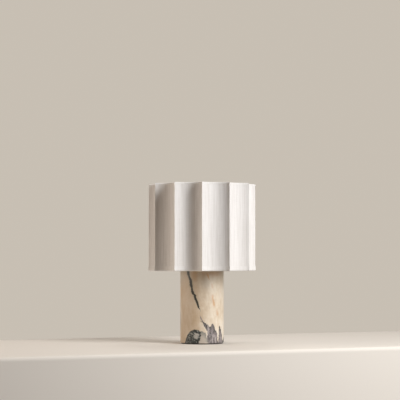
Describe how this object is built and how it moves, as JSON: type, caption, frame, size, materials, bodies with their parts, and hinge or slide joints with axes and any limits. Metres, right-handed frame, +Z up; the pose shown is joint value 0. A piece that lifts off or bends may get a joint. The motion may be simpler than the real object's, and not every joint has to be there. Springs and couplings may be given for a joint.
{
  "type": "column table lamp",
  "caption": "Round marble column table lamp with a fluted drum shade in off-white linen, a threaded lampholder with shade rings, a rotary switch and a screw-in bulb.",
  "frame": {"origin": "on the surface that the lamp stands on, at the centre of the column's foot", "axes": "+Z up along the column, -Y to the front where a ridge of the shade points, cord outlet at +Y, switch knob at +X"},
  "size_m": [0.297, 0.297, 0.44],
  "materials": {
    "linen": "off-white slubbed linen laminated to a liner",
    "linen_binding": "matching linen strip, glued over the edge",
    "shade_liner": "white translucent styrene sheet",
    "white_wire": "white powder-coated steel wire",
    "marble": "honed cream marble with grey-black veins",
    "felt": "dark wool felt",
    "black_plastic": "moulded black plastic",
    "zinc_steel": "zinc-plated steel",
    "brass_hardware": "plain machined brass",
    "brushed_brass": "brushed brass, lacquered",
    "porcelain": "white electrical porcelain",
    "fibre_washer": "red-brown vulcanised fibre",
    "solder": "soft solder",
    "black_glass": "black glass insulator",
    "bulb_cap_metal": "bright nickel-plated thin metal",
    "opal_glass": "opal white, inside coated"
  },
  "bodies": {
    "base": {"base_felt_pad": "felt", "marble_column": "marble", "cord_outlet_bushing": "black_plastic", "threaded_tube": "zinc_steel", "bottom_washer": "zinc_steel", "bottom_lock_washer": "zinc_steel", "bottom_nut": "brass_hardware", "column_top_plate": "brushed_brass", "neck_spacer": "brushed_brass", "lampholder_cap": "brushed_brass", "cap_locking_screw": "zinc_steel", "lampholder_skirt": "brushed_brass", "lampholder_ceramic": "porcelain", "terminal_screws": "brass_hardware", "lampholder_screw_shell": "brass_hardware", "centre_contact": "brass_hardware"},
    "shade_seat": {"seat_washer": "fibre_washer"},
    "lower_ring": {"lower_shade_ring": "brushed_brass"},
    "upper_ring": {"upper_shade_ring": "brushed_brass"},
    "shade": {"shade_cover": "linen", "shade_liner": "shade_liner", "shade_top_wire": "white_wire", "shade_bottom_wire": "white_wire", "shade_ribs": "white_wire", "shade_top_binding": "linen_binding", "shade_bottom_binding": "linen_binding", "spider_arms": "white_wire", "carrier_ring": "white_wire"},
    "bulb_contact": {"bulb_tip_contact": "solder"},
    "bulb": {"bulb_glass": "opal_glass", "bulb_screw_cap": "bulb_cap_metal", "bulb_cap_insulator": "black_glass"},
    "switch": {"switch_knob": "black_plastic", "switch_stem": "zinc_steel"}
  },
  "joints": [
    {"name": "shade_height", "type": "slide", "parent": "base", "child": "shade_seat", "axis": [0, 0, 1], "range_m": [-0.006, 0.004]},
    {"name": "lower_ring_turn", "type": "hinge", "parent": "shade_seat", "child": "lower_ring", "pos_m": [0, 0, 0.267], "axis": [0, 0, 1], "range_deg": [-864, 576]},
    {"name": "upper_ring_turn", "type": "hinge", "parent": "shade_seat", "child": "upper_ring", "pos_m": [0, 0, 0.276], "axis": [0, 0, 1], "range_deg": [-864, 576]},
    {"name": "shade_turn", "type": "hinge", "parent": "shade_seat", "child": "shade", "pos_m": [0, 0, 0.272], "axis": [0, 0, 1], "continuous": true},
    {"name": "bulb_travel", "type": "slide", "parent": "base", "child": "bulb_contact", "axis": [0, 0, 1], "range_m": [0, 0.0181]},
    {"name": "bulb_turn", "type": "hinge", "parent": "bulb_contact", "child": "bulb", "pos_m": [0, 0, 0.275], "axis": [0, 0, 1], "range_deg": [0, 1800]},
    {"name": "switch_turn", "type": "hinge", "parent": "base", "child": "switch", "pos_m": [0.03, 0, 0.247], "axis": [1, 0, 0], "continuous": true}
  ],
  "couplings": [
    {"joint": "lower_ring_turn", "follows": "shade_height", "rad_per_m": 2513.3},
    {"joint": "upper_ring_turn", "follows": "shade_height", "rad_per_m": 2513.3},
    {"joint": "bulb_turn", "follows": "bulb_travel", "rad_per_m": 1735.7}
  ]
}
